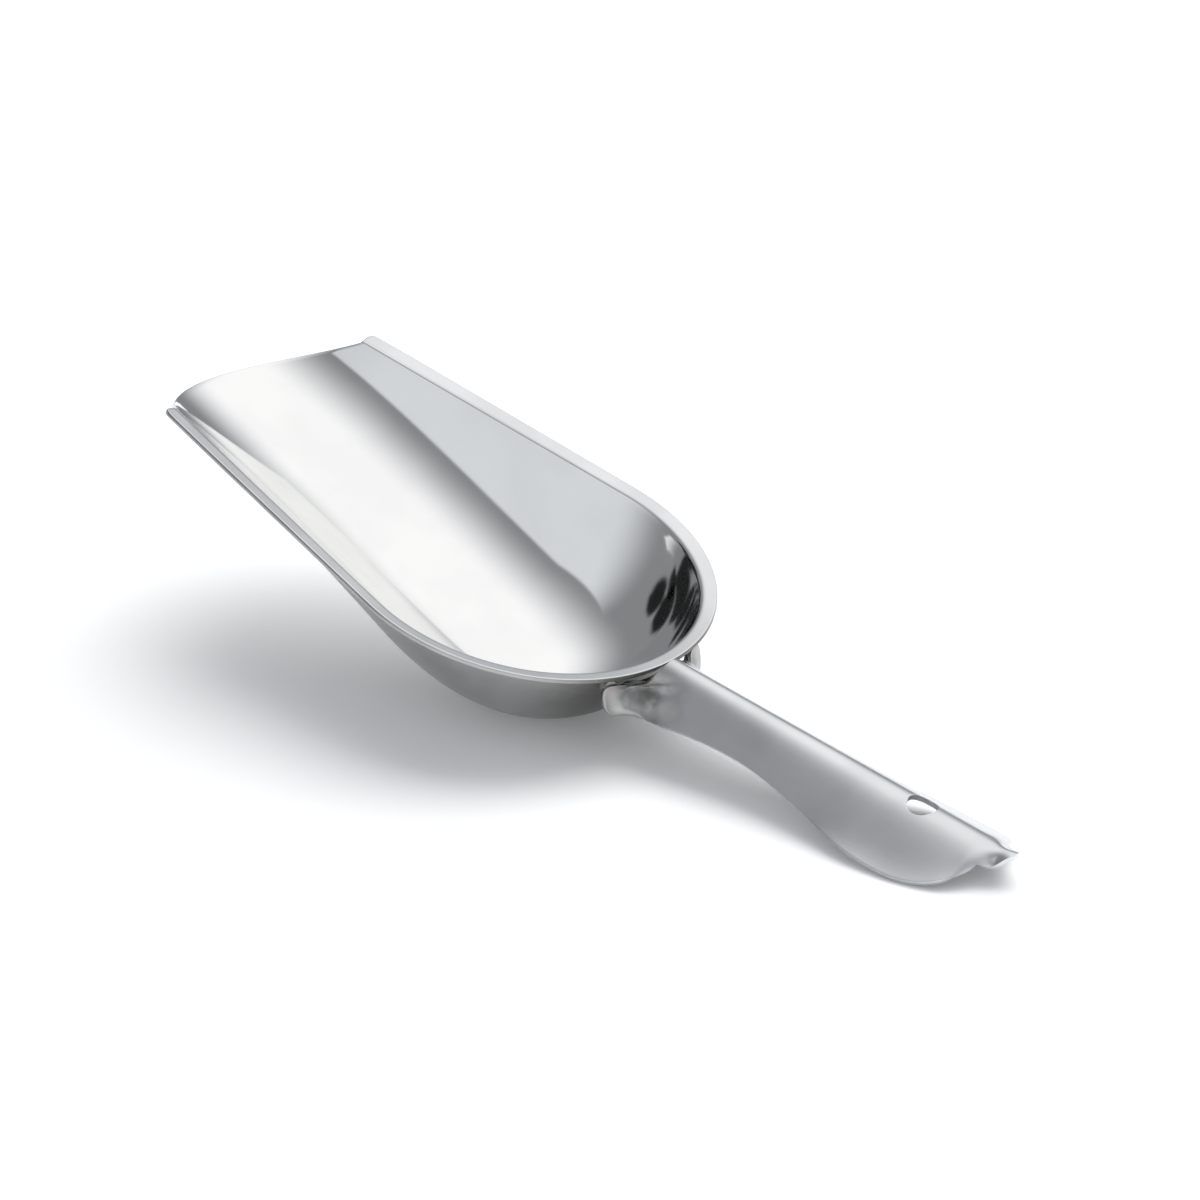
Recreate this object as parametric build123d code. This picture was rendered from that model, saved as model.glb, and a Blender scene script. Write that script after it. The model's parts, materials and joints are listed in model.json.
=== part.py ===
from build123d import *

import os
from math import atan2, cos, degrees, hypot, pi, radians, sin, sqrt, tan

# Ice scoop: a drawn sheet bowl and a pressed sheet handle, spot-welded together.
#
# Rim frame: origin at the centre of the bowl's rear arc, in the rim plane, +X towards the
# handle and +Z out of the bowl. Keel frame: the rim frame turned about Y until the keel lies
# flat. Handle frame: +X along the ridge of the handle, from its front end. At the end the whole
# scoop is turned so that it rests on its bowl and on the two lower edges of its handle.

# Sheet metal
SHEET = 0.9

# Bowl, inside sizes
REAR_RADIUS = 32.5
SIDE_LENGTH = 67.6
SIDE_TAPER = radians(7.35)
KEEL_DEPTH = 23.65
KEEL_SLOPE = radians(12.6)
KEEL_FLATTEN = 4.0
POLE_X = 3.2
LIP_BULGE = 14.7

# Flange round the rim
FLANGE_WIDTH = 3.1
FLANGE_RISE = 0.65
FLANGE_CORNER = 1.6

# Handle channel
HANDLE_LENGTH = 75.0
HANDLE_TILT = radians(7.2)
RIDGE_ABOVE_RIM = 1.5
RIDGE_ROUNDING = 2.8
ROOT_HALF_WIDTH = 9.0
WAIST_HALF_WIDTH = 8.2
PALM_HALF_WIDTH = 12.1
NECK_HALF_WIDTH = 4.4
TIP_HALF_WIDTH = 1.8
WAIST_X = 20.0
PALM_FROM_END = 19.0
BEAK_LENGTH = 3.0
PALM_X = HANDLE_LENGTH - PALM_FROM_END
NECK_X = HANDLE_LENGTH - BEAK_LENGTH
ROOT_OVERLAP = 8.0
SHOULDER_FULLNESS = 2.4
SHOULDER_ROUNDNESS = 0.62
ROOT_SLOPE = 1.15
SLOPE_DROP = 0.62
SLOPE_POWER = 1.6

# Hanging hole through the ridge
HOLE_RADIUS = 2.75
HOLE_FROM_END = 19.6
HOLE_X = HANDLE_LENGTH - HOLE_FROM_END

# Wings of the handle, against the back of the bowl
WING_HALF_WIDTH = 13.0
WING_HEIGHT = 5.8
WING_LEAN = radians(24.0)
WING_CORNER = 2.0
RIM_CLEARANCE = 0.5
WELD_GAP = 0.25

# Spot welds between wings and bowl
WELD_RADIUS = 1.4
WELD_OFFSET = 10.9
WELD_DEPTH = 1.7

# How finely the formula surfaces are sampled, how far they run past their trims, and a length
# well beyond the scoop
ACROSS_STEPS = 30
ALONG_STEPS = 24
HANDLE_STEPS = 8
OVERSHOOT = 1.06
REACH = 200.0


# ---------------------------------------------------------------- bowl
def rim_half_width(x):
    """Half width of the inner rim at x in the rim frame: rear arc, then tapering sides."""
    tangent_x = -REAR_RADIUS * sin(SIDE_TAPER)
    if x > tangent_x:
        return sqrt(REAR_RADIUS**2 - x**2)
    return REAR_RADIUS * cos(SIDE_TAPER) + (x - tangent_x) * tan(SIDE_TAPER)


def rim_reach(angle):
    """Distance in the keel plan from the pole to the rear rim, at an angle from +X."""
    stretch = 1 / cos(KEEL_SLOPE)
    a = (cos(angle) * stretch) ** 2 + sin(angle) ** 2
    b = POLE_X * cos(angle) * stretch**2
    c = (POLE_X * stretch) ** 2 - REAR_RADIUS**2
    return (sqrt(b * b - a * c) - b) / a


def section(half_width, height, share):
    """Point of a section arc: distance out and height above the keel, share 0 keel, 1 rim."""
    radius = (half_width**2 + height**2) / (2 * height)
    angle = share * atan2(half_width, radius - height)
    return radius * sin(angle), radius * (1 - cos(angle))


def keel_flatten(x):
    """How far the keel falls below its straight run towards the lip, at x in the keel frame."""
    return KEEL_FLATTEN * (max(0, -x) / (SIDE_LENGTH + LIP_BULGE)) ** 3


def from_keel(x, y, z):
    """Keel frame to rim frame."""
    return Vector(x * cos(KEEL_SLOPE) + z * sin(KEEL_SLOPE), y, z * cos(KEEL_SLOPE) - x * sin(KEEL_SLOPE))


def bowl_point(along, across, offset):
    """Point of the bowl's skin: along -1 beyond the lip, 0 at the pole, 1 at the back."""
    if along <= 0:
        angle = pi / 2
        station = POLE_X + along * (POLE_X + SIDE_LENGTH + 1.5 * LIP_BULGE)
        share = abs(across)
        width = rim_half_width(station / cos(KEEL_SLOPE))
        rim_x = station
    else:
        u = along * sqrt(1 - across**2 / 2)
        v = abs(across) * sqrt(1 - along**2 / 2)
        angle = atan2(v, u)
        station = POLE_X
        share = hypot(u, v)
        width = rim_reach(angle)
        rim_x = POLE_X + width * cos(angle)
    keel = -KEEL_DEPTH - keel_flatten(station)
    height = rim_x * tan(KEEL_SLOPE) - keel
    out, up = section(width + offset, height + offset, share * OVERSHOOT)
    side = 1 if across >= 0 else -1
    return from_keel(station + out * cos(angle), side * out * sin(angle), up + keel - offset)


def bowl_plug(offset, top):
    """Solid that fills the bowl's skin, offset outwards, up to a height above the rim plane."""
    rows = [-1 + step / ALONG_STEPS for step in range(2 * ALONG_STEPS + 1)]
    columns = [-1 + step / ACROSS_STEPS for step in range(2 * ACROSS_STEPS + 1)]
    points = [[bowl_point(along, across, offset) for across in columns] for along in rows]
    skin = Face.make_surface_from_array_of_points(points, tol=0.02, min_deg=3, max_deg=6)
    plug = Solid.extrude(skin, Vector(0, 0, REACH / 2))
    return plug & Pos(0, 0, top - REACH / 2) * Box(2 * REACH, REACH, REACH)


def rim_outline(offset, z, front=SIDE_LENGTH):
    """Face with the rim's outline, offset outwards, at a height, cut off square at the front."""
    radius = REAR_RADIUS + offset
    tangent = (-radius * sin(SIDE_TAPER), radius * cos(SIDE_TAPER))
    corner = (-front, tangent[1] + (tangent[0] * -1 - front) * tan(SIDE_TAPER))
    arc = ThreePointArc((tangent[0], -tangent[1], z), (radius, 0, z), (*tangent, z))
    far_side = Line((*tangent, z), (*corner, z))
    end = Line((*corner, z), (corner[0], -corner[1], z))
    near_side = Line((corner[0], -corner[1], z), (tangent[0], -tangent[1], z))
    return Face(Wire([arc.edge(), far_side.edge(), end.edge(), near_side.edge()]))


def dish(drop):
    """Shallow tray with the flange's upper face as its sides, lowered by a drop."""
    return Solid.make_loft(
        [
            rim_outline(0, -drop).outer_wire(),
            rim_outline(FLANGE_WIDTH, FLANGE_RISE - drop).outer_wire(),
        ],
        ruled=True,
    )


def flange():
    """Sheet ring that leans slightly upwards, with its two front corners rounded."""
    edge = extrude(rim_outline(FLANGE_WIDTH, FLANGE_RISE - SHEET), SHEET, dir=(0, 0, 1))
    opening = extrude(rim_outline(SHEET / 2, -REACH / 4), REACH / 2, dir=(0, 0, 1))
    ring = dish(SHEET) + edge - dish(0) - opening
    outer = [e for e in ring.edges().filter_by(Axis.Z) if abs(e.center().Y) > lip_half_width() + 1]
    return fillet(outer, FLANGE_CORNER)


def lip_half_width():
    return rim_half_width(-SIDE_LENGTH)


def lip_trim():
    """Prism of everything behind the lip, whose middle runs forward of its corners."""
    half = lip_half_width()
    shares = [step / 4 for step in range(-4, 5)]
    lip = [(-SIDE_LENGTH - LIP_BULGE * (1 - s**2), half * s, 0) for s in shares]
    outline = [
        Spline(*lip).edge(),
        *Polyline(
            lip[-1],
            (-SIDE_LENGTH, REACH, 0),
            (REACH, REACH, 0),
            (REACH, -REACH, 0),
            (-SIDE_LENGTH, -REACH, 0),
            lip[0],
        ).edges(),
    ]
    return Pos(0, 0, -REACH / 2) * extrude(Face(Wire(outline)), REACH, dir=(0, 0, 1))


def make_bowl():
    shell = bowl_plug(SHEET, 0) - bowl_plug(0, 1)
    return (shell + flange()) & lip_trim()


# ---------------------------------------------------------------- handle
def ease(share):
    return (1 - cos(pi * min(max(share, 0), 1))) / 2


def side_slope(x):
    return ROOT_SLOPE - SLOPE_DROP * (max(x, 0) / HANDLE_LENGTH) ** SLOPE_POWER


def drop(x, y):
    """How far the outer face lies below the ridge, at y from the middle."""
    return side_slope(x) * (hypot(y, RIDGE_ROUNDING) - RIDGE_ROUNDING)


def thickness_below(x, y):
    """Vertical thickness of the sheet where its side slopes."""
    slope = side_slope(x) * y / hypot(y, RIDGE_ROUNDING)
    return SHEET * sqrt(1 + slope**2)


def edge_depth(x):
    """How far the trimmed lower edge lies below the ridge, at x along the handle."""
    return drop(x, half_width(x)) + thickness_below(x, half_width(x))


def channel_section(x, inside):
    """Section of the channel's outer body before trimming, or of the space inside it."""
    half = PALM_HALF_WIDTH + SHEET
    ys = [half * step / 7 for step in range(-7, 8)]
    top = [(x, y, -drop(x, y) - (thickness_below(x, y) if inside else 0)) for y in ys]
    floor = -drop(x, half) - 2 * SHEET * (2 if inside else 1)
    lower = Polyline(top[-1], (x, half, floor), (x, -half, floor), top[0])
    return Wire([Spline(*top).edge(), *lower.edges()])


def channel(inside):
    spare = 4 * SHEET if inside else 2 * SHEET
    front = -ROOT_OVERLAP - spare
    end = HANDLE_LENGTH + spare
    stations = [front + step * (end - front) / HANDLE_STEPS for step in range(HANDLE_STEPS + 1)]
    return Solid.make_loft([channel_section(x, inside) for x in stations])


def half_width(x):
    """Half width of the handle's outline along its length: root, waist, palm, neck and tip."""
    if x < WAIST_X:
        return WAIST_HALF_WIDTH + (ROOT_HALF_WIDTH - WAIST_HALF_WIDTH) * (1 - x / WAIST_X) ** 2
    if x < PALM_X:
        swell = PALM_HALF_WIDTH - WAIST_HALF_WIDTH
        return WAIST_HALF_WIDTH + swell * ease((x - WAIST_X) / (PALM_X - WAIST_X))
    if x < NECK_X:
        share = (x - PALM_X) / (NECK_X - PALM_X)
        fullness = (1 - share**SHOULDER_FULLNESS) ** SHOULDER_ROUNDNESS
        return NECK_HALF_WIDTH + (PALM_HALF_WIDTH - NECK_HALF_WIDTH) * fullness
    share = (x - NECK_X) / (HANDLE_LENGTH - NECK_X)
    return NECK_HALF_WIDTH + (TIP_HALF_WIDTH - NECK_HALF_WIDTH) * share


def handle_outline():
    """Prism of the outline that the channel's lower edges and its end are trimmed to."""
    front = -ROOT_OVERLAP
    body = [front + step * (PALM_X - front) / HANDLE_STEPS for step in range(HANDLE_STEPS + 1)]
    shoulder = [PALM_X + share * (NECK_X - PALM_X) for share in (0, 0.35, 0.6, 0.8, 0.93, 1.0)]
    edges = []
    for side in (-1, 1):
        edges.append(Spline(*[(x, side * half_width(x), 0) for x in body]).edge())
        edges.append(Spline(*[(x, side * half_width(x), 0) for x in shoulder]).edge())
        beak = Line((NECK_X, side * NECK_HALF_WIDTH, 0), (HANDLE_LENGTH, side * TIP_HALF_WIDTH, 0))
        edges.append(beak.edge())
    edges.append(Line((HANDLE_LENGTH, -TIP_HALF_WIDTH, 0), (HANDLE_LENGTH, TIP_HALF_WIDTH, 0)).edge())
    edges.append(Line((front, -half_width(front), 0), (front, half_width(front), 0)).edge())
    return Pos(0, 0, -REACH / 4) * extrude(Face(Wire(edges)), REACH / 2, dir=(0, 0, 1))


def handle_place():
    """Where the handle frame sits in the rim frame: just outside the flange."""
    front = REAR_RADIUS + FLANGE_WIDTH + RIM_CLEARANCE
    return Pos(front, 0, RIDGE_ABOVE_RIM) * Rot(0, -degrees(HANDLE_TILT), 0)


def wing_top():
    return -SHEET - RIM_CLEARANCE


def lean_cone(radius):
    """Cone under the flange that widens downwards at the wings' lean."""
    height = 3 * WING_HEIGHT
    wide = radius + height * tan(WING_LEAN)
    return Pos(0, 0, wing_top() - height / 2) * Cone(wide, radius, height)


def wings():
    """Two curved ears of one sheet across the back of the bowl, with rounded corners."""
    inner = REAR_RADIUS + SHEET + WELD_GAP
    outline = RectangleRounded(2 * WING_HALF_WIDTH, WING_HEIGHT, WING_CORNER)
    middle = wing_top() - WING_HEIGHT / 2
    prism = Pos(0, 0, middle) * extrude(Plane.YZ * outline, 2 * REAR_RADIUS, dir=(1, 0, 0))
    return (lean_cone(inner + SHEET) - lean_cone(inner)) & prism


def bowl_room():
    """Room kept clear for the bowl: its back wall, and the flange above it."""
    inner = REAR_RADIUS + SHEET + WELD_GAP
    flange_radius = REAR_RADIUS + FLANGE_WIDTH + RIM_CLEARANCE
    above = Pos(0, 0, wing_top() + REACH / 4) * Cylinder(flange_radius, REACH / 2)
    return lean_cone(inner) + above


def make_handle():
    place = handle_place()
    body = place * (channel(inside=False) & handle_outline()) + wings()
    hole = place * Pos(HOLE_X, 0, 0) * Cylinder(HOLE_RADIUS, 4 * RIDGE_ROUNDING)
    return body - place * channel(inside=True) - bowl_room() - hole


def make_spot_weld(side, bowl_body, handle):
    """Nugget that fills the gap between one wing and the bowl's wall."""
    angle = degrees(atan2(side * WELD_OFFSET, REAR_RADIUS))
    bar = Pos(REAR_RADIUS, 0, wing_top() - WELD_DEPTH) * Rot(0, 90, 0) * Cylinder(WELD_RADIUS, 4 * SHEET)
    pieces = (Rot(0, 0, angle) * bar - bowl_body - handle).solids()
    return min(pieces, key=lambda piece: abs(hypot(piece.center().X, piece.center().Y) - REAR_RADIUS - SHEET))


# ---------------------------------------------------------------- resting pose
def lowest(points, pitch):
    return min(z * cos(pitch) - x * sin(pitch) for x, z in points)


def rest_pitch():
    """How far the lip is raised when the bowl and the handle's lower edges stand on a table."""
    keel = [bowl_point(step / 100, 0, SHEET) for step in range(-100, 101)]
    edges = [(handle_place() * Pos(x, 0, -edge_depth(x))).position for x in range(int(HANDLE_LENGTH))]
    bowl_side, handle_side = [[(p.X, p.Z) for p in points] for points in (keel, edges)]
    low, high = 0, pi / 4
    for _ in range(40):
        pitch = (low + high) / 2
        if lowest(bowl_side, pitch) < lowest(handle_side, pitch):
            low = pitch
        else:
            high = pitch
    return pitch


def main():
    bowl = make_bowl()
    handle = make_handle()
    bodies = {"bowl": bowl, "handle": handle}
    for name, side in (("spot_weld_left", -1), ("spot_weld_right", 1)):
        bodies[name] = make_spot_weld(side, bowl, handle)
    pitch = rest_pitch()
    turned = {name: Rot(0, degrees(pitch), 0) * body for name, body in bodies.items()}
    box = Compound(list(turned.values())).bounding_box()
    shift = Pos(-box.center().X, 0, -box.min.Z)
    os.makedirs("parts", exist_ok=True)
    for name, body in turned.items():
        export_step(shift * body, f"parts/{name}.step")
    hole = shift * Rot(0, degrees(pitch), 0) * handle_place() * Pos(HOLE_X, 0, 0)
    print("rest pitch", round(degrees(pitch), 3), "box", box.size, "moved by", shift.position)
    print("hanging hole at", hole.position, "along", hole.z_axis)


if __name__ == "__main__":
    main()
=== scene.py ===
import json
from math import atan2, cos, exp, hypot, log, pi, radians, sin, sqrt, tan

import bmesh
import bpy
from mathutils import Euler, Matrix, Vector


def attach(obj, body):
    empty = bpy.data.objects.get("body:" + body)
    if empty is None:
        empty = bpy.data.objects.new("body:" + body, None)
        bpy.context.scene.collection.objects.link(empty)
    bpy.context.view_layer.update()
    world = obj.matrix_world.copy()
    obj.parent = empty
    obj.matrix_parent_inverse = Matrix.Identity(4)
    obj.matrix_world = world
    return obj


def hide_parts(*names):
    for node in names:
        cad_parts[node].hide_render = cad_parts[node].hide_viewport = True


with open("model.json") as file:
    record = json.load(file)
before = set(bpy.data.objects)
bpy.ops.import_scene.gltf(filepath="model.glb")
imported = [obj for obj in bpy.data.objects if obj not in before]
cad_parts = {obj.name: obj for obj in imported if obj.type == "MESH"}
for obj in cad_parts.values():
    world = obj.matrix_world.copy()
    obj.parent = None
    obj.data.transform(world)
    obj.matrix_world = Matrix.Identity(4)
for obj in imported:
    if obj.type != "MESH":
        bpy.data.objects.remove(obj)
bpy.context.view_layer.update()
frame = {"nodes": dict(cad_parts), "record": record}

# Ice scoop: a drawn bowl and a pressed handle of polished and satin stainless sheet.
# Sizes are in millimetres. The bowl is drawn in the rim frame: origin at the centre of the rear
# arc, +X towards the handle, +Z out of the bowl. The handle is drawn in the handle frame, with +X
# along its ridge from the front end. Meshes are turned and moved to rest as they are made.
MM = 0.001
SHEET = 0.9
EDGE_ROUNDING = 0.22
EDGE_SEGMENTS = 3
EDGE_ANGLE = radians(50)
MERGE_DISTANCE = 0.01
RIM_CLEARANCE = 0.5
WELD_GAP = 0.25

# Bowl
REAR_RADIUS = 32.5
SIDE_LENGTH = 67.6
SIDE_TAPER = radians(7.35)
KEEL_SLOPE = radians(11.45)
KEEL_DEPTH = 22.5
KEEL_FLATTEN = 3.8
POLE_X = 5.4
POLE_SOFTNESS = 6.5
LIP_BULGE = 14.55
LIP_PULL_LENGTH = 0.8 * SIDE_LENGTH
RIM_BEND = 0.9
RIM_BEND_ALLOWANCE = 1.15
FLANGE_WIDTH = 3.1
FLANGE_RISE = 0.65
FLANGE_CORNER = 1.6
SIDE_STEPS = 64
ARC_STEPS = 72
WALL_STEPS = 44
BEND_STEPS = 7
FLANGE_STEPS = 5
POLISHED_BEND_STEPS = 3

# Handle
HANDLE_LENGTH = 74.6
HANDLE_TILT = radians(7.2)
RIDGE_ABOVE_RIM = 1.5
RIDGE_ROUNDING = 2.8
PALM_EXTRA_ROUNDING = 0.5
ROOT_HALF_WIDTH = 9.7
WAIST_HALF_WIDTH = 8.2
PALM_HALF_WIDTH = 12.1
NECK_HALF_WIDTH = 4.4
TIP_HALF_WIDTH = 0.8
WAIST_X = 20.0
PALM_X = 56.0
NECK_X = 70.3
ROOT_SLOPE = 1.15
SLOPE_DROP = 0.47
SLOPE_POWER = 0.75
BEAK_STEEPENING = 0.4
STEEPENING_LENGTH = 5.0
TIP_RISE = 0.5
HOLE_RADIUS = 2.75
HOLE_X = 55.4
PUNCH_DEPTH = 6.0
SHOULDER_FORWARD_POWER = 0.85
SHOULDER_SIDE_POWER = 1.2
SHOULDER_FAN_POWER = 1.3
BEAK_POWER = 1.5
SKIRT_FLARE = 0.7
FLARE_START = 38.0
FLARE_GROWTH = 14.0
FLARE_RUNOUT = 4.0
HALF_STEPS = 56
ROOT_STEPS = 26
GRIP_STEPS = 64
SHOULDER_STEPS = 48
BEAK_STEPS = 20

# Wings and the blend between them and the channel
BLEND_X = 6.0
WING_HALF_WIDTH = 13.0
WING_HEIGHT = 4.6
WING_DROP = 1.2
WING_LEAN = radians(24.0)
WING_CORNER = 2.0
WING_TAIL_DROP = 0.5
CORNER_ARC_LENGTH = 1.6 * WING_CORNER
RIDGE_SHARE = 0.25
SETTLE_LENGTH = 6.3
# how far the blend runs straight on from its free edge and from the channel, as shares of its length
EDGE_LEAD = 0.42
JOIN_LEAD = 0.5
# share of the half width where the blend starts to leave the free edge sideways, and until where
SWING_START = 0.35
SWING_SPAN = 0.4
# the hammered hollow: places and spreads along the blend and across the half width
HOLLOW_DEPTH = 0.9
HOLLOW_WAY = 0.45
HOLLOW_WAY_SPREAD = 0.2
HOLLOW_SHARE = 0.72
HOLLOW_SHARE_SPREAD = 0.16
HOLLOW_PULL = 0.7

# Press marks: place along and beside the ridge, size, depth
BEAK_DENT = (72.5, 2.9, 1.5, 0.7)
NECK_SWELL = (69.3, 4.6, 2.2, -0.12)

# Painted shade and painted highlights round the handle's root, in the handle frame: the wings shaded
# grey, a dark painted hollow in each, and pale painted highlights on the wings' leading edges and beside
# the hollows
HANDLE_PAINTED_SHADE_AND_LIGHT = [
    dict(place=(-1.0, 10.5, -3.5), radius=12.0, tone=(0.36, 0.36, 0.35, 1), share=0.85, ragged=0.3),
    dict(place=(0.8, 9.6, -2.2), radius=6.0, tone=(0.11, 0.115, 0.105, 1), share=0.85, ragged=0.9),
    dict(place=(-3.0, 11.9, -3.8), radius=2.4, tone=(0.50, 0.46, 0.46, 1), share=0.6, ragged=0.9),
    dict(place=(6.0, 7.9, -4.2), radius=3.0, tone=(0.82, 0.81, 0.77, 1), share=0.7, ragged=0.9),
]
# Painted shade on the bowl's outside round the handle's root, in the handle frame
BOWL_PAINTED_SHADE = [
    dict(place=(-3.0, 0.0, -7.0), radius=28.0, tone=(0.12, 0.115, 0.105, 1), share=0.85, ragged=0.1),
]

# Studio: angles in degrees, with azimuth 0 at -Y and 90 at +X
ROOM_LIGHT = 0.25
PANEL_LIGHT = 0.74
PANEL_TOP = 62
PANEL_LEFT = (-48, -8)
PANEL_RIGHT = (70, 130)
SOFTBOX_LIGHT = 1.06
SOFTBOX_AZIMUTH = 180
SOFTBOX_ELEVATION = 60
SOFTBOX_RADIUS = radians(40)
SOFTBOX_EDGE = radians(19)
KIT_DARKNESS = 0.94
KIT_RAGGEDNESS = 0.12
# azimuth, elevation and radius in radians of each dark thing standing about the room
KIT = [(-80, 21, 0.14), (-66, 27, 0.12), (-72, 14, 0.11), (-118, 10, 0.17)]
LAMP_AZIMUTH = 190
LAMP_ELEVATION = 64
LAMP_DISTANCE = 1.6
LAMP_SIZE = 1.7
LAMP_WATTS = 20
LAMP_TARGET = (0, 0, 0.02)
FLOOR_RADIUS = 4
FLOOR_GLOW = 0.10

# Camera
CAMERA_AZIMUTH = 41.6
CAMERA_ELEVATION = 24.23
CAMERA_DISTANCE = 0.600
CAMERA_LENS = 103.06
CAMERA_TARGET = (0.0080, -0.00395, 0.02645)


# ---------------------------------------------------------------- places
def rest_pose():
    """Matrix from the rim frame in millimetres to the scoop's resting place in metres."""
    hole = next(m for m in frame["record"]["mounts"] if m["name"] == "hanging_hole")
    axis = Vector(hole["axis"])
    turn = Matrix.Rotation(atan2(axis.x, axis.z) + HANDLE_TILT, 4, "Y") @ Matrix.Scale(MM, 4)
    middle = turn @ handle_place() @ Vector((HOLE_X, 0, -SHEET / 2))
    return Matrix.Translation(Vector(hole["pos_m"]) - middle) @ turn


def handle_place():
    """Matrix from the handle frame, +X along the ridge from its front end, to the rim frame."""
    front = REAR_RADIUS + FLANGE_WIDTH + RIM_CLEARANCE
    return Matrix.Translation((front, 0, RIDGE_ABOVE_RIM)) @ Matrix.Rotation(-HANDLE_TILT, 4, "Y")


def steps(count):
    """Shares from 0 to 1 in equal steps."""
    return [step / count for step in range(count + 1)]


def ease(share):
    """Smooth rise from 0 to 1, level at both ends."""
    share = min(max(share, 0), 1)
    return share * share * (3 - 2 * share)


def bezier(share, *points):
    """Point of the Bezier curve with these control points."""
    while len(points) > 1:
        points = [a.lerp(b, share) for a, b in zip(points, points[1:])]
    return points[0]


# ---------------------------------------------------------------- bowl
def rim_half_width(x):
    """Half width of the rim's plan: a rear arc and two straight sides that taper towards the lip."""
    tangent_x = -REAR_RADIUS * sin(SIDE_TAPER)
    if x > tangent_x:
        return sqrt(REAR_RADIUS**2 - x**2)
    return REAR_RADIUS * cos(SIDE_TAPER) + (x - tangent_x) * tan(SIDE_TAPER)


def rim_stations():
    """Rim points and outward directions of one half, from the lip's corner to the back centre."""
    tangent = Vector((-REAR_RADIUS * sin(SIDE_TAPER), REAR_RADIUS * cos(SIDE_TAPER)))
    outward = Vector((-sin(SIDE_TAPER), cos(SIDE_TAPER)))
    for share in steps(SIDE_STEPS)[:-1]:
        x = -SIDE_LENGTH + share * (tangent.x + SIDE_LENGTH)
        yield Vector((x, rim_half_width(x))), outward
    for share in steps(ARC_STEPS):
        angle = (1 - share) * (pi / 2 + SIDE_TAPER)
        outward = Vector((cos(angle), sin(angle)))
        yield REAR_RADIUS * outward, outward


def wall_point(rim, share):
    """Point of the bowl's inner face on the arc from the keel, share 0, to a rim point, share 1."""
    rim_x = rim.x * cos(KEEL_SLOPE)
    foot = POLE_X - POLE_SOFTNESS * log(1 + exp((POLE_X - rim_x) / POLE_SOFTNESS))
    keel = -KEEL_DEPTH - KEEL_FLATTEN * (max(0, -foot) / (SIDE_LENGTH + LIP_BULGE)) ** 3
    width = hypot(rim_x - foot, rim.y)
    height = rim.x * sin(KEEL_SLOPE) - keel
    radius = (width**2 + height**2) / (2 * height)
    angle = share * atan2(width, radius - height)
    out = radius * sin(angle) / width
    x = foot + out * (rim_x - foot)
    z = keel + radius * (1 - cos(angle))
    c, s = cos(KEEL_SLOPE), sin(KEEL_SLOPE)
    return Vector((x * c + z * s, out * rim.y, z * c - x * s))


def lip_station(share, half):
    """Rim x whose section arc crosses the lip's plan curve, of this half width, at a share of the arc."""
    back, front = -SIDE_LENGTH / 2, -SIDE_LENGTH - 2 * LIP_BULGE
    for _ in range(40):
        x = (back + front) / 2
        point = wall_point(Vector((x, rim_half_width(x))), share)
        lip_x = -SIDE_LENGTH - LIP_BULGE * (1 - (point.y / half) ** 2)
        if point.x > lip_x:
            back = x
        else:
            front = x
    return x


def flange_end(offset):
    """How far the flange's rounded corner draws its end back from the lip, at a distance out."""
    into_corner = max(0, offset - flange_reach() + FLANGE_CORNER)
    return FLANGE_CORNER - sqrt(FLANGE_CORNER**2 - into_corner**2)


def flange_reach():
    """Width of the flange's upper face, short of its lower edge because it leans."""
    return FLANGE_WIDTH - SHEET * FLANGE_RISE / FLANGE_WIDTH


def rim_column(rim, outward, lip_stations, wall_shares):
    """Inner face from the keel up the wall, round the bend and out to the flange's edge."""
    lip_pull = max(0, 1 - (rim.x + SIDE_LENGTH) / LIP_PULL_LENGTH) ** 2
    column = []
    for share, station in zip(wall_shares, lip_stations):
        x = rim.x + (station + SIDE_LENGTH) * lip_pull
        point = rim if lip_pull == 0 else Vector((x, rim_half_width(x)))
        column.append(wall_point(point, share))
    corner = Vector((point.x, point.y, 0))
    slope = Vector((outward.x, outward.y, FLANGE_RISE / FLANGE_WIDTH))
    for share in steps(BEND_STEPS)[1:]:
        column.append(bezier(share, column[len(wall_shares) - 1], corner, corner + slope * RIM_BEND))
    for share in steps(FLANGE_STEPS)[1:]:
        offset = RIM_BEND + share * (flange_reach() - RIM_BEND)
        column.append(corner + slope * offset + Vector((flange_end(offset) * lip_pull**4, 0, 0)))
    return column


def make_bowl():
    """Bowl and flange as one sheet, polished inside and satin on the flange and outside, with painted
    shade on the outside.
    """
    meridian = wall_point(Vector((REAR_RADIUS, 0)), 1) - wall_point(Vector((REAR_RADIUS, 0)), 0)
    top_share = 1 - RIM_BEND / (RIM_BEND_ALLOWANCE * meridian.length)
    wall_shares = [share * top_share for share in steps(WALL_STEPS)]
    lip_corner = Vector((-SIDE_LENGTH, rim_half_width(-SIDE_LENGTH)))
    lip_half = wall_point(lip_corner, top_share).y
    lip_stations = [lip_station(share, lip_half) for share in wall_shares]
    half = [rim_column(rim, out, lip_stations, wall_shares) for rim, out in rim_stations()]
    mirrored = [[Vector((p.x, -p.y, p.z)) for p in column] for column in reversed(half[:-1])]
    columns = half + mirrored
    polished_rows = len(wall_shares) + POLISHED_BEND_STEPS
    bowl = sheet_piece("bowl_sheet", columns, [polished_steel(), flange_steel(), shaded_outer_steel()])
    for face in bowl.data.polygons:
        row = min(v % len(columns[0]) for v in face.vertices)
        face.material_index = 0 if row < polished_rows else 1
    merge_and_face_up(bowl)
    add_thickness(bowl, under=2, rim=1)
    round_edges(bowl)
    return bowl


# ---------------------------------------------------------------- sheets
def add_object(name, data):
    thing = bpy.data.objects.new(name, data)
    bpy.context.scene.collection.objects.link(thing)
    return thing


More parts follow.
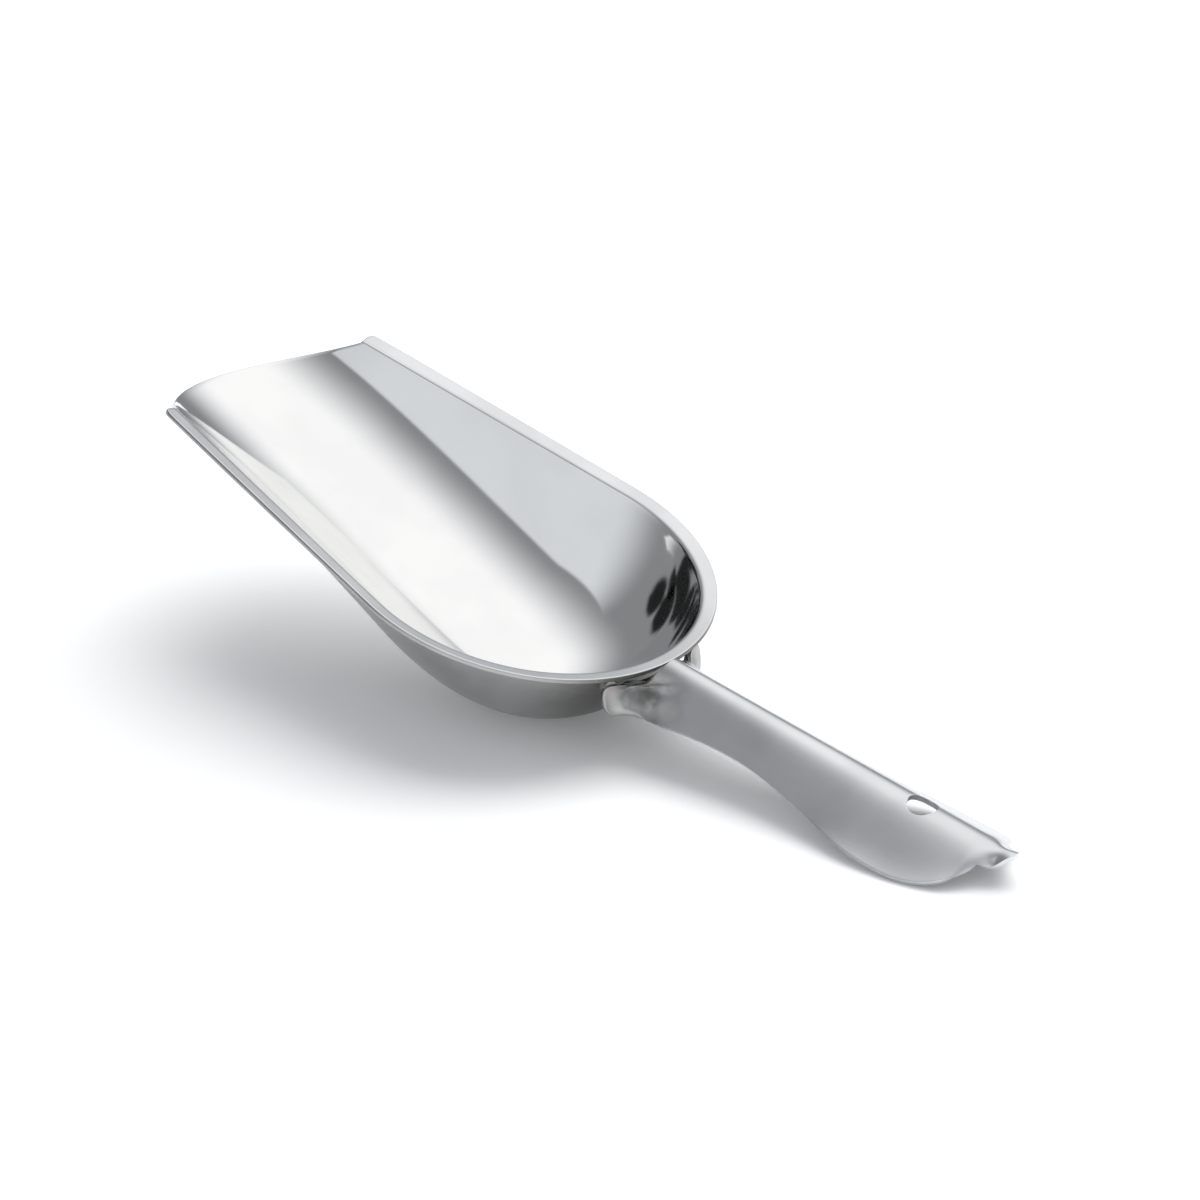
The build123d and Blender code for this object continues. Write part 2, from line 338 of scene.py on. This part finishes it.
def shape_object(name, shape):
    """Object whose mesh is a bmesh shape, which is used up."""
    mesh = bpy.data.meshes.new(name)
    shape.to_mesh(mesh)
    shape.free()
    return add_object(name, mesh)


def grid_faces(columns):
    rows = len(columns[0])
    faces = []
    for i in range(len(columns) - 1):
        for j in range(rows - 1):
            corner = i * rows + j
            faces.append((corner, corner + 1, corner + rows + 1, corner + rows))
    return faces


def sheet_piece(name, columns, materials):
    """Object whose mesh is one face of a sheet, given as columns of points in the rim frame."""
    place = rest_pose()
    mesh = bpy.data.meshes.new(name)
    mesh.from_pydata([place @ p for column in columns for p in column], [], grid_faces(columns))
    for material in materials:
        mesh.materials.append(material)
    return add_object(name, mesh)


def merge_and_face_up(piece):
    """Welds coincident points and turns the face to the side that mostly looks up."""
    shape = bmesh.new()
    shape.from_mesh(piece.data)
    bmesh.ops.remove_doubles(shape, verts=shape.verts, dist=MERGE_DISTANCE * MM)
    bmesh.ops.recalc_face_normals(shape, faces=shape.faces)
    if sum(face.normal.z * face.calc_area() for face in shape.faces) < 0:
        bmesh.ops.reverse_faces(shape, faces=shape.faces)
    for face in shape.faces:
        face.smooth = True
    shape.to_mesh(piece.data)
    shape.free()


def add_thickness(piece, under, rim=0):
    """Gives the face its sheet thickness, away from its normals.

    under and rim are the material slots of the far side and of the cut edge, counted from the face's.
    """
    solid = piece.modifiers.new("thickness", "SOLIDIFY")
    solid.thickness = SHEET * MM
    solid.offset = -1
    solid.material_offset = under
    solid.material_offset_rim = rim
    apply_modifiers(piece)


def round_edges(piece):
    """Breaks the sharp edges of the cut sheet."""
    edge = piece.modifiers.new("edge_rounding", "BEVEL")
    edge.width = EDGE_ROUNDING * MM
    edge.segments = EDGE_SEGMENTS
    edge.limit_method = "ANGLE"
    edge.angle_limit = EDGE_ANGLE


def apply_modifiers(piece):
    shown = piece.evaluated_get(bpy.context.evaluated_depsgraph_get())
    mesh = bpy.data.meshes.new_from_object(shown)
    piece.modifiers.clear()
    piece.data = mesh


# ---------------------------------------------------------------- handle
def side_slope(x):
    """Slope of the skirt away from the ridge: gentler towards the palm, steeper again at the beak."""
    slope = ROOT_SLOPE - SLOPE_DROP * (max(x, 0) / HANDLE_LENGTH) ** SLOPE_POWER
    return slope + BEAK_STEEPENING * ease((x - NECK_X) / STEEPENING_LENGTH + 0.5)


def ridge_rounding(x):
    return RIDGE_ROUNDING + PALM_EXTRA_ROUNDING * ease(x / PALM_X)


def half_width(x):
    """Half width of the handle's outline from the root past the waist to the palm."""
    if x < WAIST_X:
        return WAIST_HALF_WIDTH + (ROOT_HALF_WIDTH - WAIST_HALF_WIDTH) * (1 - x / WAIST_X) ** 2
    share = (1 - cos(pi * (x - WAIST_X) / (PALM_X - WAIST_X))) / 2
    return WAIST_HALF_WIDTH + (PALM_HALF_WIDTH - WAIST_HALF_WIDTH) * share


def press_mark(x, y, mark):
    """Depth of a round mark, alike on both sides of the ridge."""
    along, beside, size, depth = mark
    away = ((x - along) ** 2 + (abs(y) - beside) ** 2) / size**2
    return depth * exp(-away)


def outer_face(x, y):
    """Height of the handle's outer face below its ridge line, in the handle frame."""
    rounding = ridge_rounding(x)
    z = -side_slope(x) * (hypot(y, rounding) - rounding)
    z += TIP_RISE * ease((x - NECK_X) / (HANDLE_LENGTH - NECK_X))
    return z - press_mark(x, y, BEAK_DENT) - press_mark(x, y, NECK_SWELL)


def channel_point(x, share):
    """Point of the channel's outer face in the rim frame, share -1 to 1 from edge to edge."""
    y = share * half_width(x)
    return handle_place() @ Vector((x, y + flare(x, share), outer_face(x, y)))


def flare(x, share):
    """How far the skirt's edge turns outwards round the palm."""
    along = ease((x - FLARE_START) / FLARE_GROWTH) * ease((NECK_X - x) / FLARE_RUNOUT)
    return SKIRT_FLARE * share**7 * along


def shoulder_point(turn, share):
    """Point of the face where the palm narrows to the neck, turn 0 to 1."""
    angle = turn * pi / 2
    length = NECK_X - PALM_X
    edge_x = PALM_X + length * sin(angle) ** SHOULDER_FORWARD_POWER
    edge_y = NECK_HALF_WIDTH + (PALM_HALF_WIDTH - NECK_HALF_WIDTH) * cos(angle) ** SHOULDER_SIDE_POWER
    x = PALM_X + length * turn
    x += (edge_x - x) * abs(share) ** SHOULDER_FAN_POWER
    y = share * edge_y
    return handle_place() @ Vector((x, y + flare(x, share), outer_face(x, y)))


def beak_point(along, share):
    """Point of the face past the neck, along 0 to 1 at the tip."""
    x = NECK_X + (HANDLE_LENGTH - NECK_X) * along
    y = share * (TIP_HALF_WIDTH + (NECK_HALF_WIDTH - TIP_HALF_WIDTH) * (1 - along**BEAK_POWER))
    return handle_place() @ Vector((x, y, outer_face(x, y)))


def wing_radius(z):
    """Radius of the wing's outer face about the bowl's rear arc, at a height under the flange."""
    return REAR_RADIUS + 2 * SHEET + WELD_GAP + max(0, wing_top() - z) * tan(WING_LEAN)


def wing_top():
    """Height of the wings' upper edge under the flange."""
    return -SHEET - WING_DROP


def front_edge(share, side):
    """Free edge from the ridge's front end, along under the flange and down the wing's side."""
    clear = REAR_RADIUS + FLANGE_WIDTH + RIM_CLEARANCE
    natural = channel_point(0, side * share)
    if share < RIDGE_SHARE:
        return Vector((sqrt(clear**2 - natural.y**2), natural.y, natural.z))
    start = channel_point(0, side * RIDGE_SHARE)
    inner = abs(start.y)
    top, bottom = wing_top(), wing_top() - WING_HEIGHT
    width = WING_HALF_WIDTH
    tail = (width - WING_CORNER, bottom - WING_TAIL_DROP)
    outline = rounded_path([(inner, top), (width, top), (width, bottom), tail])
    y, z = outline((share - RIDGE_SHARE) / (1 - RIDGE_SHARE))
    settle = (y - inner) / SETTLE_LENGTH
    radius = clear + (wing_radius(z) - clear) * ease(settle)
    if settle < 1:
        slope = side_slope(0) * inner / hypot(inner, RIDGE_ROUNDING)
        lead_in = -slope * SETTLE_LENGTH * settle * (1 - settle) ** 2
        z = start.z + (top - start.z) * ease(settle) + lead_in
    return Vector((sqrt(radius**2 - y**2), side * y, z))


def rounded_path(corners):
    """Function of a share along straight runs whose corners are cut by curves."""
    runs = []
    for index, (a, b) in enumerate(zip(corners, corners[1:])):
        a, b = Vector(a), Vector(b)
        way = (b - a).normalized()
        start = a + way * (WING_CORNER if index else 0)
        end = b - way * (WING_CORNER if index < len(corners) - 2 else 0)
        runs.append((start, end, b))
    pieces = []
    for (start, end, corner), following in zip(runs, runs[1:] + [None]):
        pieces.append(((start, end), (end - start).length))
        if following:
            pieces.append(((end, corner, following[0]), CORNER_ARC_LENGTH))
    total = sum(length for _, length in pieces)

    def at(share):
        left = share * total
        for points, length in pieces:
            if left < length:
                return bezier(left / length, *points)
            left -= length
        return pieces[-1][0][-1]

    return at


def root_column(way, shares):
    """Sheet between the channel, way 1, and its free front edge and wings, way 0."""
    column = []
    for share in shares:
        side = 1 if share > 0 else -1
        size = abs(share)
        edge = front_edge(size, side)
        join = channel_point(BLEND_X, share)
        behind = channel_point(BLEND_X + 1, share)
        reach = (join - edge).length
        swing = ease((size - SWING_START) / SWING_SPAN)
        around = Vector((edge.y, -edge.x, 0)).normalized() * side
        forward = (behind - join).normalized()
        lead = (forward * (1 - swing) + around * swing).normalized()
        toward = edge + lead * reach * EDGE_LEAD
        leave = join - forward * reach * JOIN_LEAD
        away = hypot((way - HOLLOW_WAY) / HOLLOW_WAY_SPREAD, (size - HOLLOW_SHARE) / HOLLOW_SHARE_SPREAD)
        hollow = HOLLOW_DEPTH * exp(-(away**2))
        inward = Vector((-HOLLOW_PULL, -HOLLOW_PULL * side, 0)) * hollow
        column.append(bezier(way, edge, toward, leave, join) + inward)
    return column


def make_handle():
    """Root, grip, palm and beak as one sheet, with the hanging hole punched through it."""
    shares = [step / HALF_STEPS for step in range(-HALF_STEPS, HALF_STEPS + 1)]
    grip = [BLEND_X + (PALM_X - BLEND_X) * step for step in steps(GRIP_STEPS)[:-1]]
    columns = [root_column(way, shares) for way in steps(ROOT_STEPS)[:-1]]
    columns += [[channel_point(x, share) for share in shares] for x in grip]
    columns += [[shoulder_point(turn, share) for share in shares] for turn in steps(SHOULDER_STEPS)[:-1]]
    columns += [[beak_point(step, share) for share in shares] for step in steps(BEAK_STEPS)]
    handle = sheet_piece("handle_sheet", columns, [handle_steel(), shaded_inside_steel()])
    merge_and_face_up(handle)
    add_thickness(handle, under=1)
    punch_hole(handle)
    round_edges(handle)
    return handle


def punch_hole(handle):
    """Cuts the hanging hole through the ridge."""
    place = rest_pose() @ handle_place() @ Matrix.Translation((HOLE_X, 0, 0))
    shape = bmesh.new()
    bmesh.ops.create_cone(
        shape,
        cap_ends=True,
        segments=96,
        radius1=HOLE_RADIUS,
        radius2=HOLE_RADIUS,
        depth=PUNCH_DEPTH,
        matrix=place,
    )
    punch = shape_object("punch", shape)
    cut = handle.modifiers.new("hole", "BOOLEAN")
    cut.operation = "DIFFERENCE"
    cut.solver = "EXACT"
    cut.object = punch
    apply_modifiers(handle)
    bpy.data.objects.remove(punch)


# ---------------------------------------------------------------- shader building
class Value:
    """An output socket; arithmetic on it adds Math nodes to its tree."""

    def __init__(self, tree, socket):
        self.tree = tree
        self.socket = socket

    def math(self, operation, *values):
        return self.tree.node("ShaderNodeMath", {"operation": operation}, dict(enumerate(values)))

    def __add__(self, other):
        return self.math("ADD", self, other)

    def __sub__(self, other):
        return self.math("SUBTRACT", self, other)

    def __rsub__(self, other):
        return self.math("SUBTRACT", other, self)

    def __mul__(self, other):
        return self.math("MULTIPLY", self, other)

    __radd__ = __add__
    __rmul__ = __mul__

    def between(self, low, high):
        """0 below low, 1 above high and smooth in between."""
        limits = {"Value": self, "From Min": low, "From Max": high}
        return self.tree.node("ShaderNodeMapRange", {"interpolation_type": "SMOOTHSTEP"}, limits)


class Tree:
    """The nodes of one material or world."""

    def __init__(self, owner):
        owner.use_nodes = True
        self.nodes = owner.node_tree.nodes
        self.links = owner.node_tree.links
        self.nodes.clear()

    def node(self, kind, settings=None, inputs=None, output=0):
        node = self.nodes.new(kind)
        for name, value in (settings or {}).items():
            setattr(node, name, value)
        for name, value in (inputs or {}).items():
            if isinstance(value, Value):
                self.links.new(value.socket, node.inputs[name])
            else:
                node.inputs[name].default_value = value
        return Value(self, node.outputs[output]) if node.outputs else node

    def mix(self, factor, first, second):
        """Blend of two colours."""
        node = self.nodes.new("ShaderNodeMix")
        node.data_type = "RGBA"
        sockets = {s.identifier: s for s in node.inputs}
        values = {"Factor_Float": factor, "A_Color": first, "B_Color": second}
        for name, value in values.items():
            if isinstance(value, Value):
                self.links.new(value.socket, sockets[name])
            else:
                sockets[name].default_value = value
        result = next(s for s in node.outputs if s.identifier == "Result_Color")
        return Value(self, result)

    def place(self, scale):
        """Position in the scoop's frame, stretched by a scale along each axis."""
        coordinates = self.node("ShaderNodeTexCoord", output="Object")
        return self.node("ShaderNodeMapping", inputs={"Vector": coordinates, "Scale": scale})

    def noise(self, scale, detail=2.0, stretch=(1, 1, 1), roughness=0.5):
        inputs = {"Vector": self.place(stretch), "Scale": scale, "Detail": detail, "Roughness": roughness}
        return self.node("ShaderNodeTexNoise", inputs=inputs)


def paint_shade_and_light(tree, colour, painted_patches):
    """Paints shade and highlights into the colour round places in the handle frame and their mirror
    images.
    """
    if not painted_patches:
        return colour
    position = tree.node("ShaderNodeTexCoord", output="Object")
    blotches = tree.noise(420, detail=2)
    for painted_patch in painted_patches:
        x, y, z = painted_patch["place"]
        for side in (1, -1) if y else (1,):
            centre = rest_pose() @ handle_place() @ Vector((x, side * y, z))
            inputs = {0: position, 1: centre}
            away = tree.node("ShaderNodeVectorMath", {"operation": "DISTANCE"}, inputs, "Value")
            reach = away * (1 / (painted_patch["radius"] * MM)) + (blotches - 0.5) * painted_patch["ragged"]
            colour = tree.mix((1 - reach.between(0.35, 1.05)) * painted_patch["share"], colour, painted_patch["tone"])
    return colour


def steel(name, light, dark, roughness, spread, grain, grain_stretch, grain_depth, wave_depth, painted_patches=()):
    """Bare stainless sheet: cloudy tone, uneven polish, fine grain and the slight waves of pressing."""
    material = bpy.data.materials.new(name)
    tree = Tree(material)
    clouds = tree.noise(60, detail=3)
    lines = tree.noise(grain, detail=3, stretch=grain_stretch, roughness=0.6)
    waves = tree.noise(28, detail=1)
    colour = tree.mix(clouds.between(0.35, 0.65), dark, light)
    height = lines * grain_depth + waves * wave_depth
    bump = tree.node("ShaderNodeBump", inputs={"Strength": 1.0, "Distance": 1.0, "Height": height})
    shader = tree.node(
        "ShaderNodeBsdfPrincipled",
        inputs={
            "Base Color": paint_shade_and_light(tree, colour, painted_patches),
            "Metallic": 1.0,
            "Roughness": roughness + (clouds - 0.5) * spread + (lines - 0.5) * spread * 0.5,
            "Normal": bump,
        },
    )
    tree.node("ShaderNodeOutputMaterial", inputs={"Surface": shader})
    return material


def polished_steel():
    return steel(
        "polished_inside",
        light=(0.90, 0.90, 0.895, 1),
        dark=(0.86, 0.86, 0.857, 1),
        roughness=0.065,
        spread=0.05,
        grain=900,
        grain_stretch=(0.15, 1, 1),
        grain_depth=0.0000012,
        wave_depth=0.00006,
    )


def satin_steel(name, shade, painted_patches=()):
    return steel(
        name,
        painted_patches=painted_patches,
        light=(shade, shade + 0.01, shade + 0.02, 1),
        dark=(shade - 0.07, shade - 0.06, shade - 0.05, 1),
        roughness=0.24,
        spread=0.08,
        grain=1400,
        grain_stretch=(0.06, 1, 1),
        grain_depth=0.000004,
        wave_depth=0.00005,
    )


def flange_steel():
    return satin_steel("flange_steel", 0.78)


def handle_steel():
    # Satin steel with painted shade and painted highlights round the handle's root.
    return satin_steel("handle_steel", 0.79, HANDLE_PAINTED_SHADE_AND_LIGHT)


def shaded_inside_steel():
    # Darker than the handle's outer face as painted shade on the channel's inner face.
    return steel(
        "handle_inside_shaded_steel",
        light=(0.50, 0.50, 0.50, 1),
        dark=(0.42, 0.42, 0.42, 1),
        roughness=0.32,
        spread=0.1,
        grain=1400,
        grain_stretch=(0.1, 1, 1),
        grain_depth=0.000005,
        wave_depth=0.00005,
    )


def shaded_outer_steel():
    # Darker than the inside as painted shade on the bowl's outside, with more painted shade round the
    # handle's root.
    return steel(
        "bowl_outside_shaded_steel",
        light=(0.46, 0.46, 0.455, 1),
        dark=(0.38, 0.38, 0.37, 1),
        roughness=0.33,
        spread=0.08,
        grain=1400,
        grain_stretch=(1, 1, 0.2),
        grain_depth=0.000004,
        wave_depth=0.00004,
        painted_patches=BOWL_PAINTED_SHADE,
    )


def weld_steel():
    return steel(
        "weld_nugget",
        light=(0.60, 0.58, 0.55, 1),
        dark=(0.42, 0.40, 0.38, 1),
        roughness=0.45,
        spread=0.2,
        grain=1500,
        grain_stretch=(1, 1, 1),
        grain_depth=0.00003,
        wave_depth=0.00002,
    )


# ---------------------------------------------------------------- studio
def make_world():
    """Grey room with a large soft light high behind the scoop, a pale panel in front and dark kit."""
    world = bpy.data.worlds.new("studio")
    bpy.context.scene.world = world
    tree = Tree(world)
    direction = tree.node("ShaderNodeTexCoord", output="Generated")
    direction = tree.node("ShaderNodeVectorMath", {"operation": "NORMALIZE"}, {0: direction})
    x, y, z = (tree.node("ShaderNodeSeparateXYZ", inputs={"Vector": direction}, output=o) for o in "XYZ")
    azimuth = x.math("ARCTAN2", x, y * -1)
    elevation = z.math("ARCSINE", z)

    panel = 1 - elevation.between(radians(PANEL_TOP - 1), radians(PANEL_TOP + 1))
    left, right = (azimuth.between(radians(a), radians(b)) for a, b in (PANEL_LEFT, PANEL_RIGHT))
    panel = panel * left * (1 - right)
    light = ROOM_LIGHT + (PANEL_LIGHT - ROOM_LIGHT) * panel
    kit = tree.node("ShaderNodeTexNoise", inputs={"Vector": direction, "Scale": 5.0, "Detail": 4.0})
    for kit_azimuth, kit_elevation, radius in KIT:
        away = cap_distance(tree, direction, kit_azimuth, kit_elevation) + (kit - 0.5) * KIT_RAGGEDNESS
        outside = away.between(radius - 0.02, radius + 0.03)
        light = light * (1 - KIT_DARKNESS + KIT_DARKNESS * outside)
    reach = cap_distance(tree, direction, SOFTBOX_AZIMUTH, SOFTBOX_ELEVATION)
    lit = 1 - reach.between(SOFTBOX_RADIUS - SOFTBOX_EDGE, SOFTBOX_RADIUS + SOFTBOX_EDGE)
    light = light + (SOFTBOX_LIGHT - light) * lit
    tint = tree.mix(lit, (0.97, 1.0, 1.04, 1), (1.0, 1.0, 1.0, 1))
    background = tree.node("ShaderNodeBackground", inputs={"Color": tint, "Strength": light})
    tree.node("ShaderNodeOutputWorld", inputs={"Surface": background})


def toward(azimuth, elevation):
    """Unit vector at an azimuth and elevation in degrees."""
    azimuth, elevation = radians(azimuth), radians(elevation)
    return Vector((cos(elevation) * sin(azimuth), -cos(elevation) * cos(azimuth), sin(elevation)))


def cap_distance(tree, direction, azimuth, elevation):
    """Angle in radians between the looked-at direction and one given in degrees."""
    inputs = {0: direction, 1: toward(azimuth, elevation)}
    dot = tree.node("ShaderNodeVectorMath", {"operation": "DOT_PRODUCT"}, inputs, "Value")
    return dot.math("ARCCOSINE", dot)


def white_table():
    material = bpy.data.materials.new("white_table")
    tree = Tree(material)
    mottle = tree.noise(6, detail=2)
    shader = tree.node(
        "ShaderNodeBsdfPrincipled",
        inputs={
            "Base Color": tree.mix(mottle, (0.93, 0.93, 0.93, 1), (0.91, 0.915, 0.925, 1)),
            "Roughness": 0.7,
            "Specular IOR Level": 0.1,
            "Emission Color": (0.97, 0.98, 1.0, 1),
            "Emission Strength": FLOOR_GLOW,
        },
    )
    tree.node("ShaderNodeOutputMaterial", inputs={"Surface": shader})
    return material


def make_floor():
    shape = bmesh.new()
    bmesh.ops.create_circle(shape, cap_ends=True, segments=96, radius=FLOOR_RADIUS)
    table = shape_object("table", shape)
    table.data.materials.append(white_table())


def make_key_lamp():
    """Square soft lamp over the scoop, which shows in no reflection."""
    light = bpy.data.lights.new("key_softbox", "AREA")
    light.size = LAMP_SIZE
    light.energy = LAMP_WATTS
    lamp = add_object("key_softbox", light)
    lamp.visible_glossy = False
    place_and_aim(lamp, LAMP_AZIMUTH, LAMP_ELEVATION, LAMP_DISTANCE, LAMP_TARGET)


def make_camera():
    lens = bpy.data.cameras.new("camera")
    lens.lens = CAMERA_LENS
    lens.sensor_width = 36
    lens.clip_start = 0.01
    camera = add_object("camera", lens)
    place_and_aim(camera, CAMERA_AZIMUTH, CAMERA_ELEVATION, CAMERA_DISTANCE, CAMERA_TARGET)
    bpy.context.scene.camera = camera


def place_and_aim(thing, azimuth, elevation, distance, target):
    """Puts a lamp or camera at a distance from its target and turns it to face it."""
    thing.location = Vector(target) + toward(azimuth, elevation) * distance
    thing.rotation_euler = Euler((pi / 2 - radians(elevation), 0, radians(azimuth)))


def set_finish(node, material):
    node.data.materials.clear()
    node.data.materials.append(material)


def main():
    bpy.context.scene.view_settings.view_transform = "Standard"
    make_camera()
    make_world()
    make_floor()
    make_key_lamp()
    sheets = [(make_bowl(), "bowl", "polished_steel"), (make_handle(), "handle", "satin_steel")]
    for piece, node, slot in sheets:
        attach(piece, "root")
        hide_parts(node)
    nugget = weld_steel()
    for name in ("spot_weld_left", "spot_weld_right"):
        set_finish(frame["nodes"][name], nugget)
    bpy.context.view_layer.update()


main()
